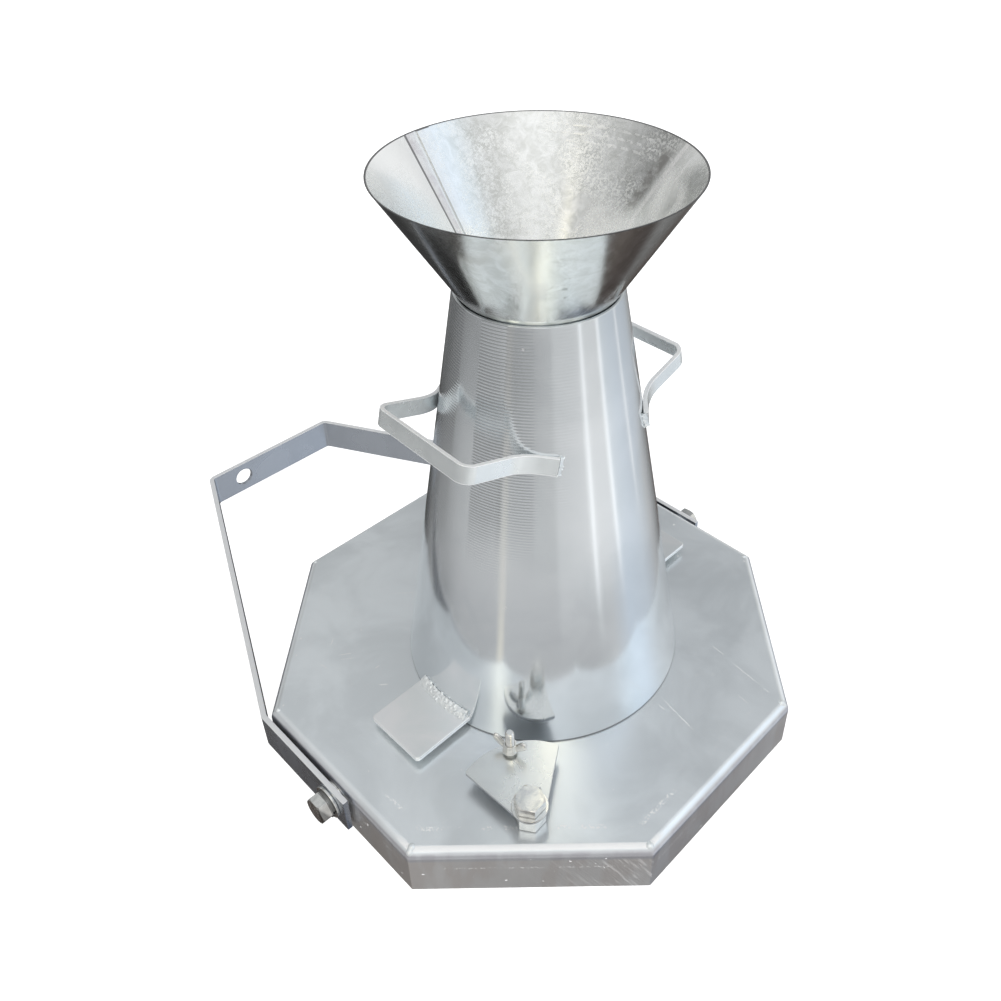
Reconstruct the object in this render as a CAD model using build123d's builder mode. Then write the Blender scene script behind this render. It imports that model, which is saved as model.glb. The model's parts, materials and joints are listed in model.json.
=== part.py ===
from build123d import *
import os
from math import asin, atan2, acos, cos, degrees, radians, sin, sqrt, tan

os.makedirs("parts", exist_ok=True)

# Slump test set: a conical mould with its filling funnel stands on a folded octagonal tray.
# Two swing clamps on the tray hold the mould's feet down, and a bail on the tray's sides
# carries the set and swings up over the mould as a bridge to measure from.
# Millimetres. The origin is the middle of the tray's top face, +Z up, -Y the tray's front.

# Mould
mould_height = 300.0
mould_top_bore = 100.0
mould_base_bore = 200.0
mould_wall = 2.0
mould_x = 9.5             # the mould is set down by hand, a little off the tray's middle
mould_y = -3.0
fittings_azimuth = 225.0  # diagonal of the front foot, the front handle and the front bail pivot

# Feet
foot_width = 50.0
foot_length = 43.0        # beyond the mould's lower edge
foot_thickness = 3.0
foot_lift = 5.0           # gap between the foot and the tray
foot_corner_radius = 3.0
foot_edge_radius = 0.8
foot_weld_leg = 5.0
foot_weld_bulge = 0.6

# Handles: a flat bar bent to a loop, its ends flared to lie along the mould
handle_bar_height = 12.0
handle_bar_thickness = 3.0
handle_height = 213.5     # where the bar's ends meet the mould
handle_stand_off = 31.0   # from the mould to the grip's outer face
handle_span = 92.0        # over the two arms
handle_bend_radius = 9.0  # outside
handle_flare_radius = 30.0
handle_end_length = 10.0
handle_rise = 15.5        # degrees that the loop slopes up, so that its ends lie on the taper
handle_tilt = 2.5         # degrees that the loop leans sideways, welded on by hand
handle_turns = {"front": -4.7, "rear": 1.7}  # degrees off the diagonal, likewise
handle_weld_leg = 3.0

# Funnel
funnel_rim_diameter = 190.0
funnel_height = 73.0      # above the mould's top
funnel_sheet = 1.0
funnel_play = 0.3         # all round, where the hopper sits in the mould's mouth
spigot_play = 2.5         # all round, between the spigot and the mouth
spigot_depth = 25.0       # below the mould's top
spigot_lap = 6.0          # height of the spigot's flare, soldered inside the hopper
seam_lap = 10.0
seam_azimuth = 141.0

# M12 bolts, nuts and washers
bolt_diameter = 12.0
bolt_head_height = 7.5
bolt_tail = 3.0           # beyond the nut
bolt_chamfer = 1.2
hex_flats = 18.0
hex_chamfer_angle = 30.0
nut_height = 10.0
washer_diameter = 24.0
washer_thickness = 2.0
spring_washer_diameter = 20.0
spring_washer_thickness = 2.0
spring_washer_gap = 2.0
thread_fit = 0.05         # all round, between a thread and its nut
pivot_fit = 0.08          # all round, between a pivot bolt and what turns on it
pivot_play = 0.15         # each side, between what turns and the washers beside it
bolt_hole_play = 0.5      # all round, in the tray

# Swing clamps: a fan plate on a pivot bolt, with a wing screw that presses on the foot
clamp_radius = 49.5
clamp_gap = 10.5          # between the fan and a mould in the tray's middle
clamp_spread = 82.0       # degrees of the fan's arc
clamp_turn = 18.0         # degrees that the fan is turned from pointing at the middle
clamp_nose_radius = 10.5
clamp_corner_radius = 1.0
clamp_thickness = 3.0
screw_diameter = 6.0
screw_reach = 42.5        # from the clamp's pivot
screw_height = 21.0       # above the fan
screw_chamfer = 0.6
wing_lift = 2.5           # gap between the wing nut and the fan
wing_hub_diameter = 10.5
wing_hub_taper = 1.0
wing_hub_height = 7.0
wing_span = 24.0
wing_height = 11.5
wing_root = 0.8           # lower edge of a wing above the hub's foot
wing_tip_depth = 4.8
wing_tip_radius = 2.2
wing_thickness = 2.0
wing_turn = -24.0         # degrees, as the wing nut was left

# Tray
tray_margin = 23.0        # from a clamp's pivot to the tray's edge
tray_depth = 40.0
tray_sheet = 3.0
tray_fold_radius = 6.5    # outside
tray_corner_radius = 1.5

# Bail: one flat bar, bent four times
bail_bar_width = 30.0
bail_bar_thickness = 4.0
bail_pivot_lift = 22.0    # above the tray's lower edge
bail_tail = 18.0          # beyond the pivot
bail_shoulder = 79.0      # from the pivot to the first bend
bail_crossbar = 126.5     # between the two outer bends
bail_lean = 13.8          # the bar was bent by hand, a little to the front
bail_bend_radius = 3.0    # inside
bridge_gap = 26.0         # above the mould's top when the bail stands upright
rod_hole_diameter = 16.5  # for the tamping rod
rod_hole_inset = 31.0     # from the front outer bend

# Worked out from the sizes above
mould_top_radius = mould_top_bore / 2 + mould_wall
mould_base_radius = mould_base_bore / 2 + mould_wall
mould_taper = (mould_base_radius - mould_top_radius) / mould_height
bolt_radius = bolt_diameter / 2
nut_bore_radius = bolt_radius + thread_fit
washer_bore_radius = bolt_radius + pivot_fit
hex_corner_radius = hex_flats / 2 / cos(radians(30))
clamp_pivot_reach = mould_base_radius + clamp_gap + clamp_radius
clamp_underside = nut_height + pivot_play
clamp_top = clamp_underside + clamp_thickness
clamp_head_seat = clamp_top + pivot_play + washer_thickness
tray_half = clamp_pivot_reach + tray_margin
bail_pivot_z = bail_pivot_lift - tray_depth
bail_bar_line = tray_half + washer_thickness + pivot_play + bail_bar_thickness / 2
bail_washer_seat = bail_bar_line + bail_bar_thickness / 2 + pivot_play
bail_spring_seat = bail_washer_seat + washer_thickness
bail_head_seat = bail_spring_seat + spring_washer_thickness
bail_reach = mould_height + bridge_gap + bail_bar_thickness / 2 - bail_pivot_z
ends = {"front": fittings_azimuth, "rear": fittings_azimuth + 180}
handle_azimuths = {end: azimuth + handle_turns[end] for end, azimuth in ends.items()}
mould_axis = Axis((mould_x, mould_y, 0), (0, 0, 1))


def mould_radius(height):
    """Outside radius of the mould at a height above the tray."""
    return mould_base_radius - mould_taper * height


def compass(azimuth):
    """Level unit vector at an azimuth in degrees, from +X towards +Y."""
    return Vector(cos(radians(azimuth)), sin(radians(azimuth)), 0)


def mould_level(azimuth, height):
    """Level plane on the mould's axis, with its X along the azimuth."""
    return Plane((mould_x, mould_y, height), x_dir=compass(azimuth), z_dir=(0, 0, 1))


def section(seat):
    """Upright plane through a seat's axis: X across the seat, Y along its axis."""
    return Plane(seat.origin, x_dir=seat.x_dir, z_dir=-seat.y_dir)


def bail_seat(azimuth, reach):
    """Plane square to the bail's pivot axis, facing outwards at a reach from the middle."""
    centre = compass(azimuth) * reach + Vector(0, 0, bail_pivot_z)
    return Plane(centre, x_dir=compass(azimuth + 90), z_dir=compass(azimuth))


def clamp_seat(end, height):
    """Level plane on a clamp's pivot, with its X along the middle of the fan."""
    azimuth = {"front": 90, "rear": 270}[end]
    centre = compass(azimuth + 180) * clamp_pivot_reach + Vector(0, 0, height)
    return Plane(centre, x_dir=compass(azimuth + clamp_turn), z_dir=(0, 0, 1))


def cut_to_mould():
    """Take the mould's outside away, so that a piece seats on its taper."""
    with BuildSketch(section(mould_level(0, 0))) as inside:
        with BuildLine():
            Polyline((0, 0), (mould_base_radius, 0), (mould_top_radius, mould_height),
                     (0, mould_height), close=True)
        make_face()
    revolve(inside.sketch, axis=mould_axis, mode=Mode.SUBTRACT)


def hexagon(seat, height):
    """Hexagonal prism on a seat, its outer corners turned off as on a bolt head."""
    with BuildSketch(seat) as flats:
        RegularPolygon(hex_flats / 2, 6, major_radius=False)
    extrude(flats.sketch, amount=height)
    corner = hex_corner_radius - hex_flats / 2
    with BuildSketch(section(seat)) as turned_off:
        with BuildLine():
            Polyline((hex_flats / 2, height), (hex_corner_radius + corner, height),
                     (hex_corner_radius + corner,
                      height - 2 * corner * tan(radians(hex_chamfer_angle))), close=True)
        make_face()
    revolve(turned_off.sketch, axis=Axis(seat.origin, seat.z_dir), mode=Mode.SUBTRACT)


def hex_bolt(seat, length):
    """Bolt with its head on the seat and its shank behind it."""
    hexagon(seat, bolt_head_height)
    with BuildSketch(section(seat)) as shank:
        with BuildLine():
            Polyline((0, 0), (bolt_radius, 0), (bolt_radius, bolt_chamfer - length),
                     (bolt_radius - bolt_chamfer, -length), (0, -length), close=True)
        make_face()
    revolve(shank.sketch, axis=Axis(seat.origin, seat.z_dir))


def hex_nut(seat):
    """Nut standing on the seat."""
    hexagon(seat, nut_height)
    with BuildSketch(seat) as bore:
        Circle(nut_bore_radius)
    extrude(bore.sketch, amount=nut_height, mode=Mode.SUBTRACT)


def washer(seat, diameter, thickness):
    """Flat ring standing on the seat."""
    with BuildSketch(seat) as ring:
        Circle(diameter / 2)
        Circle(washer_bore_radius, mode=Mode.SUBTRACT)
    extrude(ring.sketch, amount=thickness)


def finish(builder, name):
    """Label a piece and write it."""
    builder.part.label = name
    export_step(builder.part, f"parts/{name}.step")


# Tray: an octagon of sheet folded down on all sides, open below
with BuildPart() as base_tray:
    with BuildSketch(Plane.XY.offset(-tray_depth)):
        RegularPolygon(tray_half, 8, major_radius=False, rotation=22.5)
    extrude(amount=tray_depth)
    fillet(base_tray.edges().filter_by(Axis.Z), tray_corner_radius)
    fillet(base_tray.faces().sort_by(Axis.Z)[-1].edges(), tray_fold_radius)
    with BuildSketch(Plane.XY.offset(-tray_depth)):
        RegularPolygon(tray_half - tray_sheet, 8, major_radius=False, rotation=22.5)
    extrude(amount=tray_depth - tray_sheet, mode=Mode.SUBTRACT)
    ceiling = base_tray.faces().filter_by(Axis.Z).sort_by(Axis.Z)[-2]
    fillet(ceiling.edges(), max(tray_fold_radius - tray_sheet, tray_sheet / 4))
    for azimuth in ends.values():
        with BuildSketch(bail_seat(azimuth, tray_half - tray_sheet)):
            Circle(bolt_radius + bolt_hole_play)
        extrude(amount=tray_sheet, mode=Mode.SUBTRACT)
    for end in ends:
        with BuildSketch(clamp_seat(end, -tray_sheet)):
            Circle(bolt_radius + bolt_hole_play)
        extrude(amount=tray_sheet, mode=Mode.SUBTRACT)
finish(base_tray, "base_tray")

# Mould: a plain conical shell, open at both ends
with BuildPart() as mould_shell:
    with BuildSketch(section(mould_level(0, 0))):
        with BuildLine():
            Polyline((mould_base_bore / 2, 0), (mould_base_radius, 0),
                     (mould_top_radius, mould_height), (mould_top_bore / 2, mould_height),
                     close=True)
        make_face()
    revolve(axis=mould_axis)
finish(mould_shell, "mould_shell")

# Feet: flat plates, hollowed to the mould at their inner edge
for end, azimuth in ends.items():
    with BuildPart() as foot:
        foot_reach = mould_base_radius + foot_length
        with BuildSketch(mould_level(azimuth, foot_lift)):
            with Locations((foot_reach / 2, 0)):
                Rectangle(foot_reach, foot_width)
        extrude(amount=foot_thickness)
        outer_face = foot.faces().sort_by(Axis(mould_axis.position, compass(azimuth)))[-1]
        fillet(outer_face.edges().filter_by(Axis.Z), foot_corner_radius)
        fillet(foot.faces().sort_by(Axis.Z)[-1].edges(), foot_edge_radius)
        cut_to_mould()
    finish(foot, f"foot_{end}")

# Weld beads along the top of the feet
with BuildPart() as foot_welds:
    bead_foot = foot_lift + foot_thickness
    bead_top = bead_foot + foot_weld_leg
    bead_reach = mould_radius(bead_foot) + foot_weld_leg
    bead_half_angle = degrees(asin((foot_width / 2 - foot_edge_radius) / bead_reach))
    bead_middle = ((bead_reach + mould_radius(bead_top)) / 2 + foot_weld_bulge,
                   (bead_foot + bead_top) / 2 + foot_weld_bulge)
    for azimuth in ends.values():
        with BuildSketch(section(mould_level(azimuth - bead_half_angle, 0))):
            with BuildLine():
                ThreePointArc((bead_reach, bead_foot), bead_middle, (mould_radius(bead_top), bead_top))
                Polyline((mould_radius(bead_top), bead_top), (mould_radius(bead_foot), bead_foot),
                         (bead_reach, bead_foot))
            make_face()
        revolve(axis=mould_axis, revolution_arc=2 * bead_half_angle)
finish(foot_welds, "foot_welds")

# Handles. The flare is an arc that touches the mould, and the bar's end runs on along the tangent.
handle_arm = handle_span / 2 - handle_bar_thickness / 2
handle_grip = mould_radius(handle_height) + handle_stand_off - handle_bar_thickness / 2
grip_bend = handle_bend_radius - handle_bar_thickness / 2
flare_bend = handle_flare_radius + handle_bar_thickness / 2
flare_to_mould = mould_radius(handle_height) + flare_bend + handle_bar_thickness / 2
flare_start = sqrt(flare_to_mould**2 - (handle_arm + flare_bend) ** 2)
flare_angle = degrees(atan2(handle_arm + flare_bend, flare_start))
along_end = (-sin(radians(flare_angle)), cos(radians(flare_angle)))
off_mould = (cos(radians(flare_angle)), sin(radians(flare_angle)))
bar_touch = (flare_start - flare_bend * off_mould[0], handle_arm + flare_bend * (1 - off_mould[1]))
bar_end = (bar_touch[0] + handle_end_length * along_end[0],
           bar_touch[1] + handle_end_length * along_end[1])


def handle_plane(azimuth):
    """Plane of a handle's bar, sloping up from where the bar's ends meet the mould."""
    touch_reach = mould_radius(handle_height) * off_mould[0]
    outward = compass(azimuth)
    across = compass(azimuth + 90)
    slope = outward * cos(radians(handle_rise)) + Vector(0, 0, sin(radians(handle_rise)))
    upright = slope.cross(across)
    leaning = upright * cos(radians(handle_tilt)) - across * sin(radians(handle_tilt))
    centre = Vector(mould_x, mould_y, handle_height) + (outward - slope) * touch_reach
    return Plane(centre, x_dir=slope, z_dir=leaning)


for end, azimuth in handle_azimuths.items():
    with BuildPart() as handle:
        with BuildSketch(handle_plane(azimuth)):
            with BuildLine():
                Line((handle_grip, 0), (handle_grip, handle_arm - grip_bend))
                CenterArc((handle_grip - grip_bend, handle_arm - grip_bend), grip_bend, 0, 90)
                Line((handle_grip - grip_bend, handle_arm), (flare_start, handle_arm))
                CenterArc((flare_start, handle_arm + flare_bend), flare_bend, -90, flare_angle - 90)
                Line(bar_touch, bar_end)
                mirror(about=Plane.XZ)
            trace(line_width=handle_bar_thickness)
        extrude(amount=handle_bar_height / 2, both=True)
        cut_to_mould()
    finish(handle, f"handle_{end}")

# Weld beads across the ends of the handles
with BuildPart() as handle_welds:
    half_bar = handle_bar_thickness / 2

    def from_end(forward, outward):
        """Point of a handle's plane, from the middle of the bar's end."""
        return (bar_end[0] + forward * along_end[0] + outward * off_mould[0],
                bar_end[1] + forward * along_end[1] + outward * off_mould[1])

    for azimuth in handle_azimuths.values():
        with BuildSketch(handle_plane(azimuth)):
            with BuildLine():
                Polyline(from_end(0, half_bar), from_end(0, -handle_bar_thickness),
                         from_end(handle_weld_leg, -handle_bar_thickness), close=True)
            make_face()
            mirror(about=Plane.XZ)
        extrude(amount=handle_bar_height / 2, both=True)
    cut_to_mould()
finish(handle_welds, "handle_welds")

# Funnel: a sheet hopper with a lapped seam, and a spigot that drops into the mould's mouth
hopper_seat = mould_top_bore / 2 - funnel_play
hopper_slope = (funnel_rim_diameter / 2 - hopper_seat) / funnel_height
sheet_across = funnel_sheet * sqrt(1 + hopper_slope**2)
spigot_radius = mould_top_bore / 2 - spigot_play


def hopper_radius(height, sheets):
    """Radius of the hopper at a height above the mould's top, a number of sheets in from outside."""
    return hopper_seat + hopper_slope * height - sheets * sheet_across


def hopper_height(radius, sheets):
    """Height above the mould's top where the hopper has a radius."""
    return (radius + sheets * sheet_across - hopper_seat) / hopper_slope


hopper_foot = hopper_height(spigot_radius, 1)
flare_top = hopper_foot + spigot_lap
funnel_section = section(mould_level(seam_azimuth, mould_height))

with BuildPart() as funnel_hopper:
    for layer, foot_height, arc in ((0, hopper_foot, 360),
                                    (1, flare_top, degrees(2 * seam_lap / funnel_rim_diameter))):
        with BuildSketch(funnel_section):
            with BuildLine():
                Polyline((hopper_radius(foot_height, layer), foot_height),
                         (hopper_radius(funnel_height, layer), funnel_height),
                         (hopper_radius(funnel_height, layer + 1), funnel_height),
                         (hopper_radius(foot_height, layer + 1), foot_height), close=True)
            make_face()
        revolve(axis=mould_axis, revolution_arc=arc)
finish(funnel_hopper, "funnel_hopper")

with BuildPart() as funnel_spigot:
    spigot_bore = spigot_radius - funnel_sheet
    with BuildSketch(funnel_section):
        with BuildLine():
            Polyline((spigot_radius, -spigot_depth), (spigot_radius, hopper_foot),
                     (hopper_radius(flare_top, 1), flare_top), (hopper_radius(flare_top, 2), flare_top),
                     (spigot_bore, hopper_height(spigot_bore, 2)), (spigot_bore, -spigot_depth),
                     close=True)
        make_face()
    revolve(axis=mould_axis)
finish(funnel_spigot, "funnel_spigot")

# Swing clamps
for end in ends:
    with BuildPart() as clamp_plate:
        half_spread = radians(clamp_spread / 2)
        nose_angle = half_spread + acos(clamp_nose_radius / clamp_radius)
        corner = (clamp_radius * cos(half_spread), clamp_radius * sin(half_spread))
        nose = (clamp_nose_radius * cos(nose_angle), clamp_nose_radius * sin(nose_angle))
        with BuildSketch(clamp_seat(end, clamp_underside)):
            with BuildLine():
                ThreePointArc((corner[0], -corner[1]), (clamp_radius, 0), corner)
                Line(corner, nose)
                ThreePointArc(nose, (-clamp_nose_radius, 0), (nose[0], -nose[1]))
                Line((nose[0], -nose[1]), (corner[0], -corner[1]))
            make_face()
            Circle(washer_bore_radius, mode=Mode.SUBTRACT)
            with Locations((screw_reach, 0)):
                Circle(screw_diameter / 2 + pivot_fit, mode=Mode.SUBTRACT)
        extrude(amount=clamp_thickness)
        upright = clamp_plate.edges().filter_by(Axis.Z).sort_by_distance(clamp_seat(end, 0).origin)
        fillet(upright[-2:], clamp_corner_radius)
    finish(clamp_plate, f"clamp_plate_{end}")

    screw_foot = clamp_seat(end, clamp_underside)
    screw_seat = Plane(screw_foot.from_local_coords((screw_reach, 0, 0)),
                       x_dir=compass(wing_turn + {"front": 0, "rear": 180}[end]), z_dir=(0, 0, 1))
    with BuildPart() as clamp_screw:
        screw_length = clamp_thickness + screw_height
        screw_radius = screw_diameter / 2
        with BuildSketch(section(screw_seat)):
            with BuildLine():
                Polyline((0, 0), (screw_radius - screw_chamfer, 0), (screw_radius, screw_chamfer),
                         (screw_radius, screw_length - screw_chamfer),
                         (screw_radius - screw_chamfer, screw_length), (0, screw_length), close=True)
            make_face()
        revolve(axis=Axis(screw_seat.origin, screw_seat.z_dir))
    finish(clamp_screw, f"clamp_screw_{end}")

    wing_seat = screw_seat.offset(clamp_thickness + wing_lift)
    with BuildPart() as wing_nut:
        hub_radius = wing_hub_diameter / 2
        hub_bore = screw_radius + thread_fit
        with BuildSketch(section(wing_seat)):
            with BuildLine():
                Polyline((hub_bore, 0), (hub_radius, 0), (hub_radius - wing_hub_taper, wing_hub_height),
                         (hub_bore, wing_hub_height), close=True)
            make_face()
        revolve(axis=Axis(wing_seat.origin, wing_seat.z_dir))
        with BuildSketch(section(wing_seat)) as wings:
            with BuildLine():
                Polyline((screw_radius + wing_hub_taper, wing_root), (hub_radius, wing_root),
                         (wing_span / 2, wing_height - wing_tip_depth), (wing_span / 2, wing_height),
                         (wing_span / 2 - wing_tip_depth, wing_height),
                         (hub_radius, wing_hub_height - wing_root),
                         (screw_radius + wing_hub_taper, wing_hub_height - wing_root), close=True)
            make_face()
            fillet(wings.vertices().sort_by(Axis.X)[-3:], wing_tip_radius)
            mirror(about=Plane.YZ)
        extrude(amount=wing_thickness / 2, both=True)
    finish(wing_nut, f"wing_nut_{end}")

# Fasteners of the clamps: the spacer nut stands on the tray and carries the fan
with BuildPart() as clamp_spacer_nuts:
    for end in ends:
        hex_nut(clamp_seat(end, 0))
finish(clamp_spacer_nuts, "clamp_spacer_nuts")

with BuildPart() as clamp_washers:
    for end in ends:
        washer(clamp_seat(end, clamp_top + pivot_play), washer_diameter, washer_thickness)
finish(clamp_washers, "clamp_washers")

with BuildPart() as clamp_bolts:
    for end in ends:
        hex_bolt(clamp_seat(end, clamp_head_seat), clamp_head_seat + tray_sheet + nut_height + bolt_tail)
finish(clamp_bolts, "clamp_bolts")

with BuildPart() as clamp_lock_nuts:
    for end in ends:
        hex_nut(clamp_seat(end, -tray_sheet - nut_height))
finish(clamp_lock_nuts, "clamp_lock_nuts")

# Bail
with BuildPart() as bail:
    back = compass(fittings_azimuth - 90)
    with BuildSketch(Plane((0, 0, bail_pivot_z), x_dir=back, z_dir=(0, 0, 1))):
        with BuildLine():
            FilletPolyline((-bail_tail, bail_bar_line), (bail_shoulder, bail_bar_line),
                           (bail_reach, bail_crossbar / 2 + bail_lean),
                           (bail_reach, bail_lean - bail_crossbar / 2),
                           (bail_shoulder, -bail_bar_line), (-bail_tail, -bail_bar_line),
                           radius=bail_bend_radius + bail_bar_thickness / 2)
        trace(line_width=bail_bar_thickness)
    extrude(amount=bail_bar_width / 2, both=True)
    for azimuth in ends.values():
        with BuildSketch(bail_seat(azimuth, bail_bar_line)):
            Circle(washer_bore_radius)
        extrude(amount=bail_bar_thickness, both=True, mode=Mode.SUBTRACT)
    rod_hole_side = bail_crossbar / 2 + bail_lean - rod_hole_inset
    rod_hole_centre = back * bail_reach + compass(fittings_azimuth) * rod_hole_side
    with BuildSketch(Plane(rod_hole_centre + Vector(0, 0, bail_pivot_z), z_dir=back)):
        Circle(rod_hole_diameter / 2)
    extrude(amount=bail_bar_thickness, both=True, mode=Mode.SUBTRACT)
finish(bail, "bail")

# Fasteners of the bail, from the flange outwards, with a nut inside the tray
with BuildPart() as bail_spacers:
    for azimuth in ends.values():
        washer(bail_seat(azimuth, tray_half), washer_diameter, washer_thickness)
finish(bail_spacers, "bail_spacers")

with BuildPart() as bail_washers:
    for azimuth in ends.values():
        washer(bail_seat(azimuth, bail_washer_seat), washer_diameter, washer_thickness)
finish(bail_washers, "bail_washers")

with BuildPart() as bail_spring_washers:
    for azimuth in ends.values():
        spring_seat = bail_seat(azimuth, bail_spring_seat)
        washer(spring_seat, spring_washer_diameter, spring_washer_thickness)
        with BuildSketch(spring_seat):
            with Locations((spring_washer_diameter / 2, 0)):
                Rectangle(spring_washer_diameter / 2, spring_washer_gap)
        extrude(amount=spring_washer_thickness, mode=Mode.SUBTRACT)
finish(bail_spring_washers, "bail_spring_washers")

with BuildPart() as bail_bolts:
    for azimuth in ends.values():
        grip = bail_head_seat - tray_half + tray_sheet
        hex_bolt(bail_seat(azimuth, bail_head_seat), grip + nut_height + bolt_tail)
finish(bail_bolts, "bail_bolts")

with BuildPart() as bail_nuts:
    for azimuth in ends.values():
        hex_nut(bail_seat(azimuth, tray_half - tray_sheet - nut_height))
finish(bail_nuts, "bail_nuts")
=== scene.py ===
import bpy
import json
from functools import partial, reduce
from math import cos, pi, radians, sin
from mathutils import Matrix, Vector
from random import Random


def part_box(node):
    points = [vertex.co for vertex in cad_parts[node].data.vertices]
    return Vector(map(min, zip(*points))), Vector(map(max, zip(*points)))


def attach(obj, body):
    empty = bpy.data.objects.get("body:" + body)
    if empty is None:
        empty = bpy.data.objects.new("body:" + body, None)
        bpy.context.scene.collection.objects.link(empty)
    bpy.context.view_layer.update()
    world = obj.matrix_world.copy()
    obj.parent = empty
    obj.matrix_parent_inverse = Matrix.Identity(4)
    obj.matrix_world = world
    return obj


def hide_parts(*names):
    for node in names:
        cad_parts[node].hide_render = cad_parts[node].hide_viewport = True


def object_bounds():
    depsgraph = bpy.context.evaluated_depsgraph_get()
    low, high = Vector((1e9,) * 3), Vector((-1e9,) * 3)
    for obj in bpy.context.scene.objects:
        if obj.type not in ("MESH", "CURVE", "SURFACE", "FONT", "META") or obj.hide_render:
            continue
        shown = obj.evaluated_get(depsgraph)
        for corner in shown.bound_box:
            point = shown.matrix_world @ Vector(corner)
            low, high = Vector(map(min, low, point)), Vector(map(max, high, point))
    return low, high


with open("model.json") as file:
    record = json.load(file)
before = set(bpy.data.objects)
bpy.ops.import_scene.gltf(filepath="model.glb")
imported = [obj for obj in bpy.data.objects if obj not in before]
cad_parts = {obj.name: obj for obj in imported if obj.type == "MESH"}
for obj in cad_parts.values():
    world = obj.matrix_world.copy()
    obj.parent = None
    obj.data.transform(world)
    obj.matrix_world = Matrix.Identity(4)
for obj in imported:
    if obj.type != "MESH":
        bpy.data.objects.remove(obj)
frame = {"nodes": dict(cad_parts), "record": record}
cad_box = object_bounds()

# Looks of a slump test set: a painted steel mould with a galvanised funnel on a folded tray.
# Metres, in the model's own frame: +Z up, -Y towards the camera.

# The camera, matched to the photograph
IMAGE_SIDE = 1001             # pixels
FOCAL_LENGTH = 967.9          # pixels
OPTICAL_CENTRE = (548.2, 408.3)
CAMERA_PLACE = (0.0095, -0.5165, 0.5717)
CAMERA_PITCH = 0.6148         # radians down
CAMERA_YAW = 0.0101
CAMERA_ROLL = -0.0063
SENSOR = 36.0

# Sizes that the frame doesn't give
MOULD_TOP_RADIUS = 0.052
MOULD_WALL = 0.002
TURNED_PITCH = 0.002          # feed of the turning tool on the mould
FUNNEL_SHEET = 0.001177       # measured level, through the sloping sheet
FUNNEL_FOOT_RADIUS = 0.048677
FUNNEL_SEAM = radians(141)
FUNNEL_LAP = radians(6.03)
FUNNEL_ROW_PITCH = 0.0042     # rows left by the rolls
SPIGOT_RADIUS = 0.0475
SPIGOT_SHEET = 0.001
STUD_RADIUS = 0.003
STUD_PITCH = 0.001
BOLT_RADIUS = 0.006
BOLT_PITCH = 0.00175
CLAMP_SHANK_PLAIN = 0.006     # stretch without a thread
BAIL_SHANK_PLAIN = 0.009
WING_HUB_BORE = 0.00305
WING_HUB_RADII = (0.00525, 0.00425)
WING_HUB_HEIGHT = 0.007
WING_TURN = radians(-24)
CLAMP_PIVOT_REACH = 0.162
BAIL_PIVOT_HEIGHT = -0.018
BAIL_HEAD_SEAT = 0.1953
BAIL_SHANK_LENGTH = 0.0263
TRAY_HALF = 0.185
TRAY_FOLD = 0.0065
TRAY_SIDES = 8
TRAY_PRESS_INSET = 0.0105     # row of press marks on the top, in from the fold
TRAY_PRESS_DROP = 0.0165      # row of press marks on the flange, below the top
TRAY_DAB_INSET = 0.0032
TRAY_DAB_HEIGHTS = [-0.0042 + 0.0014 * lump for lump in range(3)]
WELD_DROPS = 60               # on each node of beads
WELD_LUMPS = ((0.0022, 0.0008), (0.0009, 0.0008 * 0.7))   # size and height of its roughness

# Terms used throughout
FULL_TURN = 2 * pi
ENDS = ("front", "rear")
Socket = bpy.types.NodeSocket

# A wing nut's ear from the hub outward, in millimetres:
# reach and height of its lower edge, the same of its upper edge, and thickness
WING_STEPS = [
    ((3.6, 0.7), (3.4, 6.6), 4.0),
    ((6.2, 0.8), (5.2, 8.0), 3.8),
    ((9.0, 3.0), (7.2, 11.6), 3.6),
    ((11.6, 5.4), (9.8, 12.4), 3.4),
    ((12.6, 7.4), (11.8, 11.9), 3.0),
]

# A thread's form, in shares of its pitch
THREAD_DEPTH = 0.6
THREAD_SUNK = 0.2             # depth of its root in the core
THREAD_HALF_FOOT = 0.45
THREAD_HALF_CREST = 0.07
THREAD_START = 0.8            # height of its first ridge above the rod's foot
THREAD_RUN_OUT = 1.2          # left plain at its ends
CORE_BEVEL = 0.4
SHANK_BEVEL = 0.3

# Rounding of edges
LAP_EDGE = 0.0001
SHEET_EDGE = 0.0002
NUT_EDGE = 0.0003
PLATE_EDGE = 0.0004
LIP_EDGE = 0.0005
BAR_EDGE = 0.0006

# Fineness of the meshes
TURN_STEPS = 192              # of the mould and the funnel
THREAD_STEPS = 28
ROD_STEPS = 40
WING_HUB_STEPS = 48
FUNNEL_LAP_STEPS = 8
MERGE_DISTANCE = 0.000002
CAD_MERGE_DISTANCE = 0.000005
SEAT_TOLERANCE = 0.00002
FLAT_ANGLE = radians(0.3)
SHARP_ANGLE = 30              # degrees
ANY_SIDES = 0                 # fills holes of any size

# Finishes
ALUMINIUM_PAINT = (0.85, 0.89, 0.91)
PAINT_RELIEF = 0.00003
PATCH_RANGE = (0.35, 0.68)    # of the clouds, from thin paint to thick

# Where the mould's turned lines show: turns from +X, half width, soft edge and strength
TURNED_SIDES = [
    (-0.331, 0.022, 0.006, 1.2),
    (-0.286, 0.022, 0.008, 0.45),
    (-0.2125, 0.02, 0.015, 0.1),
    (-0.43, 0.025, 0.01, 1.2),
]

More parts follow.
